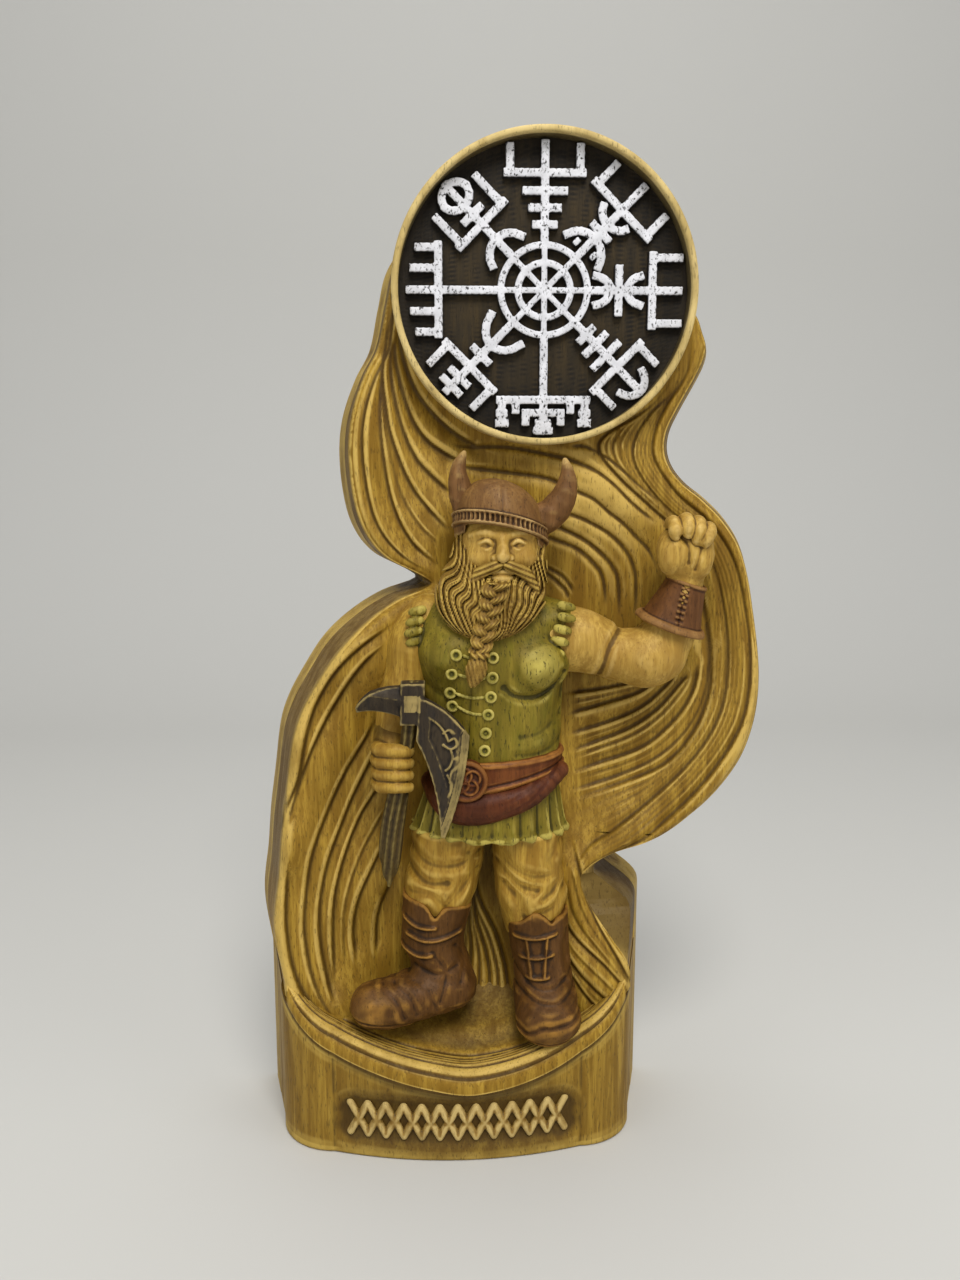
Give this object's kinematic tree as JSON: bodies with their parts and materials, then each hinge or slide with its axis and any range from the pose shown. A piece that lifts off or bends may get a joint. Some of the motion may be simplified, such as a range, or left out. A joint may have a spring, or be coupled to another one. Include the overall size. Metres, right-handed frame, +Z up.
{
  "type": "carved viking figure",
  "caption": "Carved wooden relief of a bearded viking with an axe and a raised fist, before swept flame, under a round compass disc, on a D-shaped plinth that stands by itself.",
  "frame": {"origin": "centre of the bounding box's underside, on the table", "axes": "+Z up, +Y towards the flat back, +X to the viewer's right; the viewer stands at -Y"},
  "size_m": [0.1137, 0.035, 0.21],
  "materials": {
    "plain_wood": "honey-brown hardwood under an oil finish",
    "flame_wood": "honey-brown carved hardwood with dark-stained grooves",
    "ornament_wood": "hardwood, rubbed pale on the raised faces",
    "hair_wood": "hardwood with brown stain between the locks",
    "skin_wood": "bare honey hardwood, oiled",
    "black_stain": "hardwood stained near black, grain still open",
    "white_paint": "raised strokes with rubbed white paint",
    "brown_stain": "hardwood stained chestnut brown",
    "boot_stain": "hardwood stained dark brown",
    "green_stain": "hardwood stained olive green",
    "wine_stain": "hardwood stained wine red-brown",
    "iron_stain": "hardwood stained black-brown, rubbed pale on the edges"
  },
  "bodies": {
    "root": {"back_board": "plain_wood", "plinth": "plain_wood", "plinth_ornament": "ornament_wood", "ground_bowl": "flame_wood", "flame_crest": "flame_wood", "flame_arch": "flame_wood", "flame_sweep": "flame_wood", "flame_tail": "flame_wood", "flame_wing": "flame_wood", "flame_hearth": "flame_wood", "disc_field": "black_stain", "disc_rim": "plain_wood", "stave_hub": "white_paint", "stave_n": "white_paint", "stave_ne": "white_paint", "stave_e": "white_paint", "stave_se": "white_paint", "stave_s": "white_paint", "stave_sw": "white_paint", "stave_w": "white_paint", "stave_nw": "white_paint", "head": "skin_wood", "helmet": "brown_stain", "horn_right": "brown_stain", "horn_left": "brown_stain", "beard": "hair_wood", "braid": "hair_wood", "tunic_torso": "green_stain", "tunic_skirt": "green_stain", "tunic_lacing": "green_stain", "belt": "wine_stain", "sash": "wine_stain", "buckle": "wine_stain", "arm_raised": "skin_wood", "bracer": "brown_stain", "fist_raised": "skin_wood", "arm_lowered": "skin_wood", "fist_lowered": "skin_wood", "axe_haft": "iron_stain", "axe_head": "iron_stain", "leg_right": "skin_wood", "leg_left": "skin_wood", "boot_right": "boot_stain", "boot_left": "boot_stain"}
  },
  "joints": []
}
